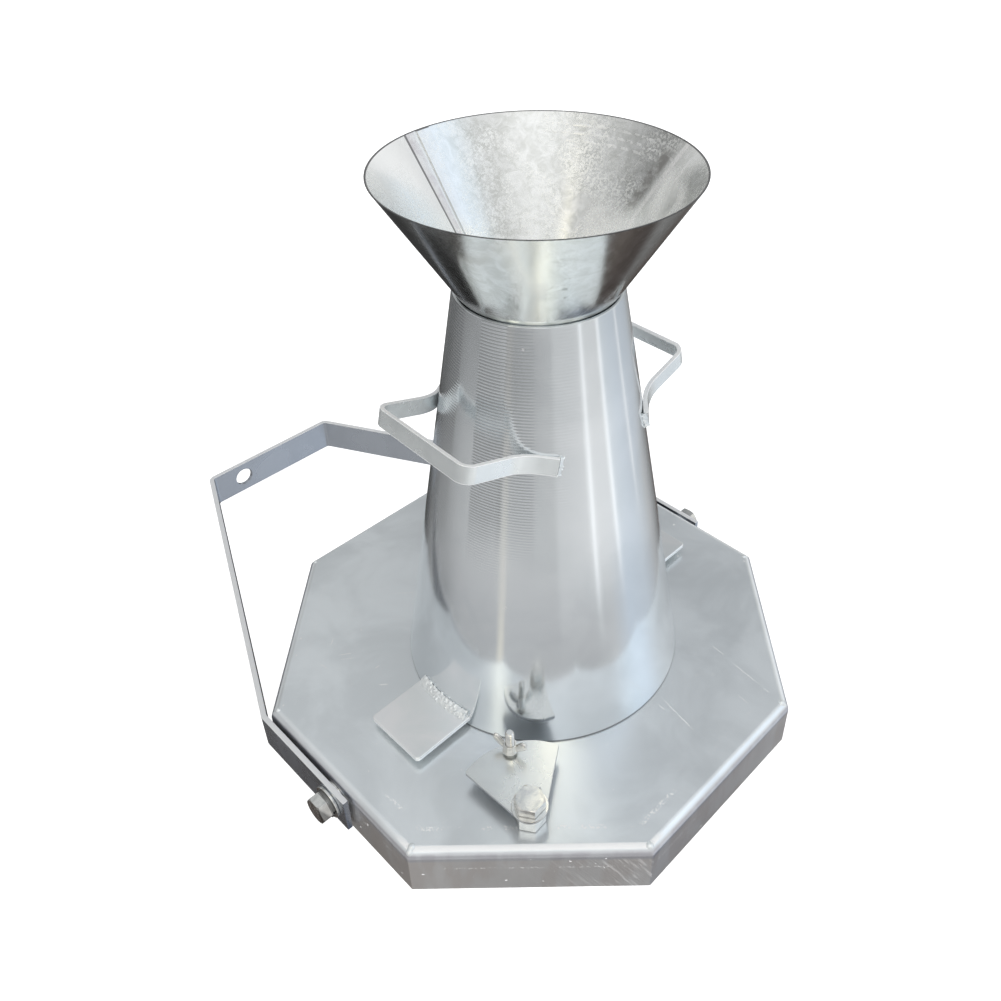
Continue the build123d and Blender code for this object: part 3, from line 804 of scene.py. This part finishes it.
def make_galvanised_sheet():
    """Zinc-coated sheet: frosty and smeared inside, smoother and specked outside, dark at its cut edges, with
    painted shading and a painted reflection streak outside and a painted shadow at the lap's edge inside.
    """
    material, tree, shader = new_material("galvanised_sheet", (0.80, 0.82, 0.81), 1.0, 0.26)
    turn, radius, height = place_group(tree, round_group)
    point = object_point(tree)
    rim = funnel_high.z
    radius_at_zero = FUNNEL_FOOT_RADIUS - funnel_slope * funnel_low.z
    thickness = minus(radius_at_zero, minus(radius, product(height, funnel_slope)))
    inside = math_node("GREATER_THAN", thickness, 0.6 * FUNNEL_SHEET)
    rough_side = fade(inside, 0.22, 1.0)
    frost = noise(point, 620.0, 3, 0.6)
    smear = noise(object_point(tree, scale=(1, 1, 0.7)), 30.0, 4, 0.6, 1.0)
    crystal = noise(point, 130.0, 3, 0.6, 0.8)
    bloom = product(map_range(smear, 0.38, 0.62), map_range(frost, 0.47, 0.58), rough_side)

    # The coat, outside and in
    coat = mix_colour(map_range(crystal, 0.3, 0.7), (0.69, 0.705, 0.685), (0.86, 0.875, 0.87))
    lighter = product(inside, map_range(absolute(turn), 0.33, 0.42))
    inner_coat = mix_colour(lighter, coat, (0.90, 0.915, 0.915))
    # Painted shading: the outside darker at its sides and lighter where it faces the front.
    shade = mix_colour(band(turn, -0.25, 0.07, 0.03), 0.7, (1.12, 1.12, 1.1))
    outer_coat = mix_colour(1.0, coat, shade, "MULTIPLY")

    # What lies over it
    low_right = largest(product(band(turn, 0.11, 0.05, 0.03), map_range(height, 0.338, 0.318)),
                        product(band(turn, 0.0, 0.05, 0.03), map_range(height, 0.366, 0.35)))
    frosty = product(inside, low_right, map_range(smear, 0.36, 0.56, 0.45, 1.0))
    rows = math_node("SINE", product(height, FULL_TURN / FUNNEL_ROW_PITCH))
    rolled = product(inside, map_range(rows, 0.35, 0.9), band(turn, 0.15, 0.08, 0.02),
                     band(height, 0.362, 0.0065, 0.002), map_range(noise(point, 300.0, 2), 0.42, 0.56))
    slanted = total(turn, product(minus(height, 0.357), 0.5))
    short_crease = product(band(slanted, 0.041, 0.0014, 0.0014), band(height, 0.359, 0.005, 0.004), 0.7)
    crease = product(inside, largest(band(slanted, 0.0635, 0.002, 0.003), short_crease),
                     map_range(noise(point, 90.0, 3, 0.7), 0.35, 0.55, 0.4, 1.0))
    rub = product(inside, band(slanted, 0.082, 0.005, 0.007), band(height, 0.349, 0.012, 0.008),
                  map_range(noise(point, 160.0, 3, 0.7), 0.32, 0.56, 0.2, 1.0))
    nicks = mask(tree, nicks_group, Scale=170.0, Share=0.1, Size=0.3)
    specks = product(nicks, map_range(height, 0.335, 0.302, 0.3, 1.0), fade(inside, 0.9, 0.2))
    # Painted reflection: a pale streak down the front of the outside.
    painted_reflection_streak = product(minus(1.0, inside), band(turn, -0.258, 0.010, 0.014))
    seam = (FUNNEL_SEAM + FUNNEL_LAP) / FULL_TURN
    stain = product(inside, band(turn, seam - 0.0065, 0.0045, 0.003),
                    map_range(noise(point, 120.0, 3, 0.6), 0.35, 0.6, 0.3, 1.0))
    # The rim's cut edge dark, and a painted shadow along the lap's edge inside.
    cut_edge_and_shadow = largest(product(inside, band(turn, seam, 0.0012, 0.0006)),
                       map_range(height, rim - 0.0004, rim - 0.0002))
    covers = [
        (largest(product(bloom, 0.8), product(frosty, 0.9)), (0.99, 1.0, 0.98)),
        (largest(product(rolled, 0.55), product(crease, 0.9)), (1.0, 1.0, 0.99)),
        (product(rub, 0.8), (0.29, 0.28, 0.27)),
        (product(painted_reflection_streak, 0.9), (1.0, 1.0, 0.95)),
        (specks, (0.10, 0.10, 0.09)),
        (product(stain, 0.5), (0.59, 0.55, 0.59)),
        (product(cut_edge_and_shadow, 0.85), (0.16, 0.16, 0.165)),
    ]
    tone = mix_colour(inside, outer_coat, inner_coat)
    for cover, colour in covers:
        tone = mix_colour(cover, tone, colour)
    feed(shader, "Base Color", tone)
    feed(shader, "Metallic", fade(frosty, 1.0, 0.35))
    feed(shader, "Roughness", total(product(bloom, 0.2), product(crystal, 0.1), product(rolled, 0.2),
                                    product(rub, 0.2), product(inside, 0.07), 0.1))
    relief = total(product(crystal, rough_side, 0.6), product(smear, rough_side),
                   product(frost, rough_side, 0.12), product(largest(rolled, crease), 0.5))
    bump(shader, relief, 0.0001)
    return material


def make_zinc_plate():
    """Pale zinc plate on nuts, bolts and washers, with painted shade where they meet and on the washers' sides.
    """
    material, tree, shader = new_material("zinc_plate", (0.76, 0.76, 0.74), 0.96, 0.2)
    patch = mask(tree, clouds_group, Scale=110.0)
    tone = mix_colour(map_range(patch, 0.3, 0.7), (0.64, 0.64, 0.62), (0.86, 0.855, 0.82))
    side, depth, height = coordinates(object_point(tree))
    outward = absolute(total(product(side, bail_axis.x), product(depth, bail_axis.y)))
    low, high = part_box("clamp_washers")
    # Painted shade where heads, washers and nuts meet what they sit on, and on the washers' sides.
    washer = band(height, (low.z + high.z) / 2, (high.z - low.z) / 2 - 0.0005, 0.0002)
    shade_at_seats = largest(band(height, high.z + 0.0005, 0.0002, 0.0002), band(height, low.z, 0.0002, 0.0003),
                       product(washer, 0.6), map_range(height, 0.0012, 0.0006))
    painted_seat_shade = largest(product(shade_at_seats, map_range(absolute(depth), 0.146, 0.148)),
                    band(outward, BAIL_HEAD_SEAT + 0.0005, 0.0002, 0.0002))
    feed(shader, "Base Color", mix_colour(product(painted_seat_shade, 0.8), tone, 0.16))
    feed(shader, "Roughness", map_range(patch, 0.25, 0.75, 0.11, 0.22))
    bump(shader, patch, 0.00006)
    return material


def make_spring_steel():
    """Dark oiled steel of the split washers."""
    material, tree, shader = new_material("spring_steel", 0.2, 1.0, 0.4)
    patch = mask(tree, clouds_group, Scale=120.0)
    feed(shader, "Base Color", mix_colour(patch, 0.12, (0.36, 0.36, 0.35)))
    bump(shader, noise(object_point(tree), 2500.0), 0.00003)
    return material


tray_paint = make_tray_paint()
handle_paints = {end: bar_paint_on("handle_paint_" + end, (0.89, 0.93, 0.94), 0.74, 0.26, 0.25,
                                   edges=bar_edges("handle_" + end)) for end in ENDS}
foot_paint = bar_paint_on("foot_paint", (0.96, 0.99, 0.99), 0.84, 0.3, 0.0,
                          underside=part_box("foot_front")[0].z)
clamp_paint = bar_paint_on("clamp_paint", (0.79, 0.81, 0.80), 0.93, 0.26, 0.0,
                           underside=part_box("clamp_plate_front")[0].z, cut=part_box("clamp_plate_front")[1].z)
bail_paint = bar_paint_on("bail_paint", (0.49, 0.53, 0.59), 0.97, 0.26, 0.3,
                          edges=bar_edges("bail"), edge_shine=0.6)
mould_paint = make_mould_paint()
bead_paint = make_bead_paint()
galvanised_sheet = make_galvanised_sheet()
zinc_plate = make_zinc_plate()
spring_steel = make_spring_steel()


# Pieces

def make_plain_pieces():
    """Pieces whose solid has the right form, and which need only their edges rounded."""
    finishes = [
        (foot_paint, PLATE_EDGE, ("foot_front", "foot_rear")),
        (handle_paints["front"], BAR_EDGE, ("handle_front",)),
        (handle_paints["rear"], BAR_EDGE, ("handle_rear",)),
        (bail_paint, BAR_EDGE, ("bail",)),
        (clamp_paint, PLATE_EDGE, ("clamp_plate_front", "clamp_plate_rear")),
        (zinc_plate, NUT_EDGE, ("bail_nuts", "clamp_spacer_nuts", "clamp_lock_nuts")),
        (zinc_plate, PLATE_EDGE, ("bail_washers", "bail_spacers", "clamp_washers")),
        (spring_steel, NUT_EDGE, ("bail_spring_washers",)),
    ]
    for material, edge, nodes in finishes:
        for node in nodes:
            piece = copy_node(node, node + "_finished")
            round_edges(piece, edge)
            dress(piece, material, node)


def make_tray():
    """Folded tray, with a dab of weld metal where the folds meet at each corner."""
    tray = copy_node("base_tray", "tray_sheet")
    round_edges(tray, BAR_EDGE)
    chance = Random(8)
    half_side = pi / TRAY_SIDES
    corner_reach = (TRAY_HALF - TRAY_DAB_INSET) / cos(half_side)
    dabs = []
    for corner in range(TRAY_SIDES):
        angle = half_side * (1 + 2 * corner)
        way = Vector((cos(angle), sin(angle), 0))
        for height in TRAY_DAB_HEIGHTS:
            place = way * (corner_reach - chance.uniform(0.0, 0.003)) + Vector((0, 0, height))
            radius = chance.uniform(0.0022, 0.003)
            dabs.append(weld_drop(place, 3, radius, (1.0, 1.0, chance.uniform(0.8, 1.0))))
    welds = join("tray_corner_welds", dabs)
    modify(welds, "REMESH", mode="VOXEL", voxel_size=0.0005)
    modify(welds, "SMOOTH", factor=0.5, iterations=4)
    smooth_all(welds)
    dress(tray, tray_paint, "base_tray")
    dress(welds, bead_paint, "base_tray")


def make_mould():
    """Conical shell with eased lips."""
    shell = turned("mould_wall", [(mould_base_radius, 0), (MOULD_TOP_RADIUS, mould_height),
                                  (MOULD_TOP_RADIUS - MOULD_WALL, mould_height),
                                  (mould_base_radius - MOULD_WALL, 0)], mould_axis)
    round_edges(shell, LIP_EDGE)
    dress(shell, mould_paint, "mould_shell")


def make_funnel():
    """Rolled hopper with its lapped seam, and the spigot soldered inside its foot."""
    foot, rim, flare = funnel_low.z, funnel_high.z, spigot_high.z

    def at(height, sheets):
        """Radius and height of the hopper at a height, a number of sheets in from its outside."""
        return FUNNEL_FOOT_RADIUS + funnel_slope * (height - foot) - sheets * FUNNEL_SHEET, height

    sheet = turned("hopper", [at(foot, 0), at(rim, 0), at(rim, 1), at(foot, 1)], mould_axis)
    lap = turned("hopper_lap", [at(flare, 1), at(rim, 1), at(rim, 2), at(flare, 2)], mould_axis,
                 FUNNEL_SEAM, FUNNEL_LAP, FUNNEL_LAP_STEPS)
    round_edges(sheet, SHEET_EDGE)
    round_edges(lap, LAP_EDGE)
    dress(join("funnel_sheet", [sheet, lap]), galvanised_sheet, "funnel_hopper")
    bore = SPIGOT_RADIUS - SPIGOT_SHEET
    inner_bend = foot + (bore + 2 * FUNNEL_SHEET - FUNNEL_FOOT_RADIUS) / funnel_slope
    spigot = turned("spigot_sheet", [(SPIGOT_RADIUS, spigot_low.z), (SPIGOT_RADIUS, foot), at(flare, 1),
                                     at(flare, 2), (bore, inner_bend), (bore, spigot_low.z)], mould_axis)
    round_edges(spigot, SHEET_EDGE)
    dress(spigot, galvanised_sheet, "funnel_spigot")


def make_bolts(node, below, shank_length, plain, places):
    """Hexagon bolts of a node: heads, cut off from what lies below, and threaded shanks at their places."""
    heads = copy_node(node, node + "_heads")
    pick(heads, "VERT", lambda point: below(point.co))
    bpy.ops.mesh.delete(type="VERT")
    bpy.ops.mesh.select_all(action="SELECT")
    bpy.ops.mesh.fill_holes(sides=ANY_SIDES)
    leave_edit()
    round_edges(heads, PLATE_EDGE)
    shank = threaded_rod("shank", BOLT_RADIUS, BOLT_PITCH, shank_length, plain)
    shanks = [copy_of(shank, "shank", place) for place in places]
    bpy.data.objects.remove(shank)
    dress(join(node + "_finished", [heads] + shanks), zinc_plate, node)


def make_all_bolts():
    """Bolts of the clamps, which stand upright, and of the bail, which lie along its axis."""
    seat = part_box("clamp_washers")[1].z
    make_bolts("clamp_bolts", lambda point: point.z < seat - SEAT_TOLERANCE,
               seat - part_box("clamp_bolts")[0].z, CLAMP_SHANK_PLAIN,
               [Matrix.Translation((0, side * CLAMP_PIVOT_REACH, seat)) for side in (-1, 1)])
    places = []
    for way in (-bail_axis, bail_axis):
        place = Matrix.Translation(way * BAIL_HEAD_SEAT + Vector((0, 0, BAIL_PIVOT_HEIGHT)))
        places.append(place @ way.to_track_quat("Z", "Y").to_matrix().to_4x4())
    make_bolts("bail_bolts", lambda point: abs(point.dot(bail_axis)) < BAIL_HEAD_SEAT - SEAT_TOLERANCE,
               BAIL_SHANK_LENGTH, BAIL_SHANK_PLAIN, places)


def make_clamp_screws():
    """Threaded studs that stand in the clamps' fans."""
    low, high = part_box("clamp_screw_front")
    stud = threaded_rod("stud", STUD_RADIUS, STUD_PITCH, high.z - low.z, 0)
    turn_over = Matrix.Rotation(pi, 4, "X")
    for end in ENDS:
        low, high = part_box("clamp_screw_" + end)
        foot = axis_of(low, high) + Vector((0, 0, low.z))
        piece = copy_of(stud, "stud_" + end, Matrix.Translation(foot) @ turn_over)
        smooth(piece, 40)
        dress(piece, zinc_plate, "clamp_screw_" + end)
    bpy.data.objects.remove(stud)


def make_wing(side):
    """One ear of a wing nut, drawn out from the hub in steps and rounded."""

    def shape(points, step):
        """Put an end's corners at the reaches and heights, in millimetres, of its lower and upper edge."""
        lower, upper, thickness = step
        middle = sum(point.co.z for point in points) / len(points)
        for point in points:
            reach, height = upper if point.co.z > middle else lower
            half = thickness / 2 if point.co.y > 0 else -thickness / 2
            point.co = Vector((side * reach, half, height)) * 0.001

    bpy.ops.mesh.primitive_cube_add(size=0.001)
    wing = added("wing")
    for step, away in zip(WING_STEPS, (-1, 1)):
        shape([point for point in wing.data.vertices if (point.co.x > 0) == (away * side > 0)
               and abs(point.co.x) < 0.0006], step)
    for step in WING_STEPS[2:]:
        tip = sorted(wing.data.vertices, key=lambda point: -abs(point.co.x))[:4]
        corners = {point.index for point in tip}
        pick(wing, "FACE", lambda face: set(face.vertices) == corners)
        bpy.ops.mesh.extrude_region_move()
        leave_edit()
        shape([point for point in wing.data.vertices if point.select], step)
    modify(wing, "SUBSURF", levels=3, render_levels=3)
    return wing


def make_wing_nuts():
    """Wing nuts: a tapered hub with two ears, run together as in a casting."""
    foot_radius, top_radius = WING_HUB_RADII
    hub = turned("hub", [(WING_HUB_BORE, 0), (foot_radius, 0), (top_radius, WING_HUB_HEIGHT),
                         (WING_HUB_BORE, WING_HUB_HEIGHT)], Vector((0, 0, 0)), steps=WING_HUB_STEPS)
    nut = join("wing_nut", [hub, make_wing(-1), make_wing(1)])
    modify(nut, "REMESH", mode="VOXEL", voxel_size=0.00022)
    modify(nut, "SMOOTH", factor=0.5, iterations=5)
    for end, angle in zip(ENDS, (WING_TURN, WING_TURN + pi)):
        node = "wing_nut_" + end
        foot = axis_of(*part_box("clamp_screw_" + end)) + Vector((0, 0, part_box(node)[0].z))
        turn = Matrix.Rotation(angle, 4, "Z")
        piece = copy_of(nut, node + "_finished", Matrix.Translation(foot) @ turn)
        smooth(piece, 50)
        dress(piece, zinc_plate, node)
    bpy.data.objects.remove(nut)


def make_welds():
    """Rough beads that hold the feet and the handles to the mould."""
    dress(weld_over("foot_welds", (0.0005, 0.0011), 3), bead_paint, "foot_welds")
    dress(weld_over("handle_welds", (0.0006, 0.0011), 5), bead_paint, "handle_welds")


make_plain_pieces()
make_tray()
make_mould()
make_funnel()
make_all_bolts()
make_clamp_screws()
make_wing_nuts()
make_welds()


# Floor, light and camera

def make_floor():
    """Plain pale floor, left out of the metal's reflections, which show the surroundings instead."""
    bpy.ops.mesh.primitive_plane_add(size=14, location=(0, 0, floor_level))
    floor = added("floor")
    material, _, shader = new_material("floor_paper", 0.9, 0.0, 0.8)
    feed(shader, "Emission Color", colour_of(1))
    feed(shader, "Emission Strength", 0.7)
    floor.data.materials.append(material)
    floor.visible_glossy = False


def all_round(turn, stops):
    """Light all round, from azimuths in degrees, 0 towards the camera and + to its right, and their tones."""
    return ramp(turn, [((azimuth + 180) / 360, tone) for azimuth, tone in stops])


def make_surroundings():
    """Daylight in tiers, from the ground at the tray up to the sky: bright ahead and to the right."""
    world = bpy.data.worlds.new("surroundings")
    bpy.context.scene.world = world
    world.use_nodes = True
    tree = world.node_tree
    side, depth, height = coordinates(add_node(tree, "TexCoord").outputs["Generated"])
    azimuth = math_node("ARCTAN2", side, product(depth, -1.0))
    turn = total(math_node("DIVIDE", azimuth, FULL_TURN), 0.5)

    def tier(level, low, high, under, over):
        """One tier of light that gives way to the next between two levels."""
        return mix_colour(map_range(level, low, high), under, over)

    near = all_round(turn, [
        (-180, 0.12), (-165, 0.08), (-140, 0.03), (-124, 0.1), (-114, (0.12, 0.1, 0.09)),
        (-104, (0.05, 0.04, 0.035)), (-90, (0.13, 0.11, 0.1)), (-70, (0.2, 0.18, 0.17)),
        (-45, (0.29, 0.26, 0.25)), (-8, 0.33), (8, 0.27), (45, (0.19, 0.2, 0.24)), (75, (0.11, 0.13, 0.19)),
        (95, (0.11, 0.125, 0.165)), (108, (0.15, 0.13, 0.12)), (150, (0.12, 0.1, 0.095)), (180, 0.12)])
    apron = all_round(turn, [
        (-180, 0.06), (-150, 0.06), (-136, 0.18), (-120, 0.38), (-104, 0.46), (-94, 0.36), (-84, 0.5),
        (-60, 0.62), (-39, 0.66), (-35, (1.2, 1.12, 0.96)), (-31, 0.72), (-5, 0.66), (25, 0.57), (50, 0.66),
        (62, 0.78), (80, (0.84, 0.92, 1.02)), (104, (0.8, 0.86, 0.93)), (128, 0.6), (145, 0.3),
        (158, (0.14, 0.12, 0.11)), (180, 0.06)])
    yard = all_round(turn, [
        (-180, 0.14), (-134, 0.14), (-118, 0.24), (-104, 0.34), (-90, 0.5), (-70, 0.62), (-40, 0.66),
        (-35, (0.9, 0.86, 0.8)), (-31, 0.7), (-12, 0.7), (13, 0.72), (16, 0.86), (42, 0.94), (47, 1.0),
        (50, 1.8), (53, 1.05), (66, 1.03), (72, 1.0), (75, 1.8), (78, (0.92, 0.97, 1.02)),
        (93, (0.82, 0.88, 0.95)), (105, (0.74, 0.79, 0.86)), (108, 1.3), (111, (0.72, 0.77, 0.84)),
        (133, (0.62, 0.66, 0.71)), (150, 0.45), (165, 0.3), (180, 0.14)])
    horizon = all_round(turn, [
        (-180, 0.85), (-140, 0.92), (-112, 0.75), (-85, 0.7), (-60, 0.76), (-20, 1.05), (20, 1.05),
        (60, 1.02), (118, 1.3), (142, 1.2), (165, 1.05), (180, 0.9)])
    middle = all_round(turn, [
        (-180, 0.48), (-140, 0.48), (-112, 0.33), (-96, 0.45), (-81, 0.66), (-64, 0.8), (-48, 0.88),
        (-41, 1.0), (-37, (3.4, 3.2, 2.7)), (-32, (3.4, 3.2, 2.7)), (-28, 0.92), (-14, 0.9), (8, 0.9),
        (26, 0.9), (44, 0.88), (58, 0.94), (72, (1.22, 1.34, 1.46)), (88, (1.22, 1.36, 1.54)), (104, 1.0),
        (122, 1.06), (142, 0.8), (160, 0.48), (180, 0.44)])
    high = all_round(turn, [
        (-180, 0.42), (-160, (0.62, 0.645, 0.66)), (-120, 0.68), (-95, 0.82), (-72, 0.84), (-48, 0.8),
        (-30, 1.06), (-14, 1.32), (8, 1.36), (26, 1.22), (44, 1.02), (58, 1.0), (74, (1.22, 1.34, 1.44)),
        (92, (1.24, 1.36, 1.52)), (110, 0.85), (140, 0.58), (162, (0.45, 0.475, 0.5)),
        (172, (0.41, 0.43, 0.455)), (180, (0.4, 0.41, 0.42))])
    dim = mix_colour(map_range(side, -0.5, 0.3, 0.6, 0.22), yard, 0.1)
    lift = ramp(height, [(0.66, 1.0), (0.77, 1.2), (0.84, 1.25)])
    streak = mix_colour(band(side, 0.074, 0.014, 0.07), (1.25, 1.28, 1.32), (5.0, 4.5, 3.4))
    overhead = tier(depth, -0.04, -0.18, (0.92, 0.95, 0.99), streak)
    low_sky = tier(height, 0.24, 0.36, horizon, middle)
    clear_sky = tier(height, 0.56, 0.62, low_sky, high)
    lifted_sky = mix_colour(1.0, clear_sky, lift, "MULTIPLY")
    sky = tier(height, 0.86, 0.93, lifted_sky, overhead)
    ground = tier(height, -0.78, -0.70, near, apron)
    lower_left = total(height, map_range(side, -0.8, -0.6, 0.05, 0.0))
    ground = tier(lower_left, -0.52, -0.46, ground, yard)
    ground = tier(height, -0.42, -0.27, ground, dim)
    whole = tier(height, -0.12, 0.05, ground, sky)
    seen = add_node(tree, "LightPath").outputs["Is Camera Ray"]
    background = tree.nodes["Background"]
    feed(background, "Color", mix_colour(seen, whole, 1.4))
    feed(background, "Strength", 0.78)


def make_camera():
    """Camera at the photograph's place and angle."""
    camera = bpy.data.cameras.new("camera")
    camera.sensor_width = SENSOR
    camera.lens = SENSOR * FOCAL_LENGTH / IMAGE_SIDE
    camera.shift_x = 0.5 - OPTICAL_CENTRE[0] / IMAGE_SIDE
    camera.shift_y = OPTICAL_CENTRE[1] / IMAGE_SIDE - 0.5
    holder = bpy.data.objects.new("camera", camera)
    holder.matrix_world = (Matrix.Translation(CAMERA_PLACE) @ Matrix.Rotation(-CAMERA_YAW, 4, "Z")
                           @ Matrix.Rotation(pi / 2 - CAMERA_PITCH, 4, "X")
                           @ Matrix.Rotation(CAMERA_ROLL, 4, "Z"))
    bpy.context.scene.collection.objects.link(holder)
    bpy.context.scene.camera = holder


make_floor()
make_surroundings()
make_camera()
bpy.context.scene.view_settings.view_transform = "Standard"
